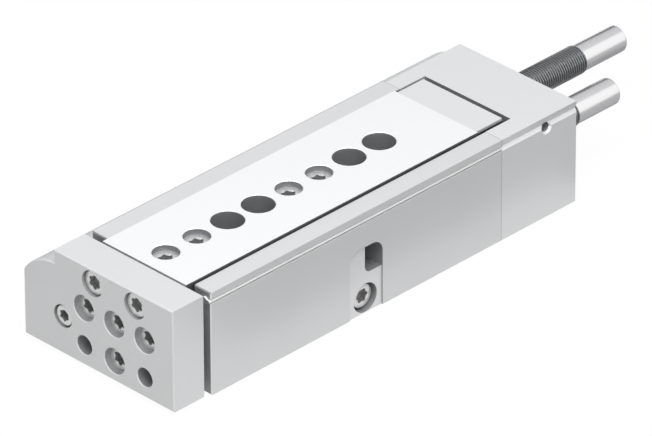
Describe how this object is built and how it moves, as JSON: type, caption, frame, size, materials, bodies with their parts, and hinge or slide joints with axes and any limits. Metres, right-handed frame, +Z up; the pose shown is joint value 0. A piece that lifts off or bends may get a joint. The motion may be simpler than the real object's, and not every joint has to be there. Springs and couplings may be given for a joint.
{
  "type": "pneumatic slide table",
  "caption": "Compact slide table with an air cylinder in a low side shoulder, a ball cage guide, a front end plate and adjustable end stops at the back.",
  "frame": {"origin": "underside of the housing, on the slide's centre line, centre of the four base holes", "axes": "+X the way the table advances, +Z up, drive cylinder on the -Y side"},
  "size_m": [0.2395, 0.0669, 0.0382],
  "materials": {
    "anodised_body": "fine bead blasted and clear anodised",
    "plate_metal": "milled and clear anodised",
    "ground_top": "finely ground, pale",
    "stop_block_metal": "milled",
    "guide_steel": "hardened and ground",
    "ball_steel": "polished",
    "cage_plastic": "moulded",
    "screw_zinc": "bright zinc plated",
    "dark_thread": "blackened threaded steel",
    "bright_stud": "ground and polished",
    "spring_steel": "drawn wire",
    "seal_rubber": "moulded",
    "magnet": "sintered",
    "bronze": "sintered bronze",
    "inner_aluminium": "turned",
    "pale_strip": "extruded"
  },
  "bodies": {
    "base": {"housing": "anodised_body", "rear_cap": "anodised_body", "outer_rail_left": "guide_steel", "outer_rail_right": "guide_steel", "rail_end_stops": "guide_steel", "pocket_screw": "screw_zinc", "rear_cap_screws": "screw_zinc", "retract_sleeve": "dark_thread", "advance_sleeve": "dark_thread", "retract_lock_nut": "dark_thread", "advance_lock_nut": "dark_thread", "retract_absorber_body": "bright_stud", "advance_stop_rod": "bright_stud", "advance_collar": "bright_stud", "retract_spring": "spring_steel", "rod_seal": "seal_rubber", "rear_plug_seal": "seal_rubber", "advance_buffer": "seal_rubber", "rod_bush": "bronze", "rod_cover": "inner_aluminium", "rear_plug": "inner_aluminium", "slot_cover": "pale_strip"},
    "slide": {"slide_table": "ground_top", "table_screws": "screw_zinc", "guide_rail": "guide_steel", "slide_head": "stop_block_metal", "stop_block": "stop_block_metal", "stop_block_screws": "screw_zinc", "sensing_magnet": "magnet", "end_plate": "plate_metal", "end_plate_screws": "screw_zinc", "end_plate_top_screws": "screw_zinc", "rod_screw": "screw_zinc", "piston": "inner_aluminium", "piston_seals": "seal_rubber", "piston_magnet": "magnet", "piston_rod": "bright_stud", "piston_retaining_ring": "screw_zinc"},
    "cage_left": {"ball_cage_left": "cage_plastic", "balls_left": "ball_steel"},
    "cage_right": {"ball_cage_right": "cage_plastic", "balls_right": "ball_steel"},
    "plunger": {"retract_plunger": "bright_stud"}
  },
  "joints": [
    {"name": "table_slide", "type": "slide", "parent": "base", "child": "slide", "axis": [1, 0, 0], "range_m": [0, 0.05]},
    {"name": "left_cage_slide", "type": "slide", "parent": "base", "child": "cage_left", "axis": [1, 0, 0], "range_m": [0, 0.025]},
    {"name": "right_cage_slide", "type": "slide", "parent": "base", "child": "cage_right", "axis": [1, 0, 0], "range_m": [0, 0.025]},
    {"name": "plunger_slide", "type": "slide", "parent": "base", "child": "plunger", "axis": [1, 0, 0], "range_m": [-0.0035, 0], "stiffness_N_per_m": 400, "springref_m": 0.002, "deforming": ["retract_spring"]}
  ],
  "couplings": [
    {"joint": "left_cage_slide", "follows": "table_slide", "ratio": 0.5},
    {"joint": "right_cage_slide", "follows": "table_slide", "ratio": 0.5}
  ]
}
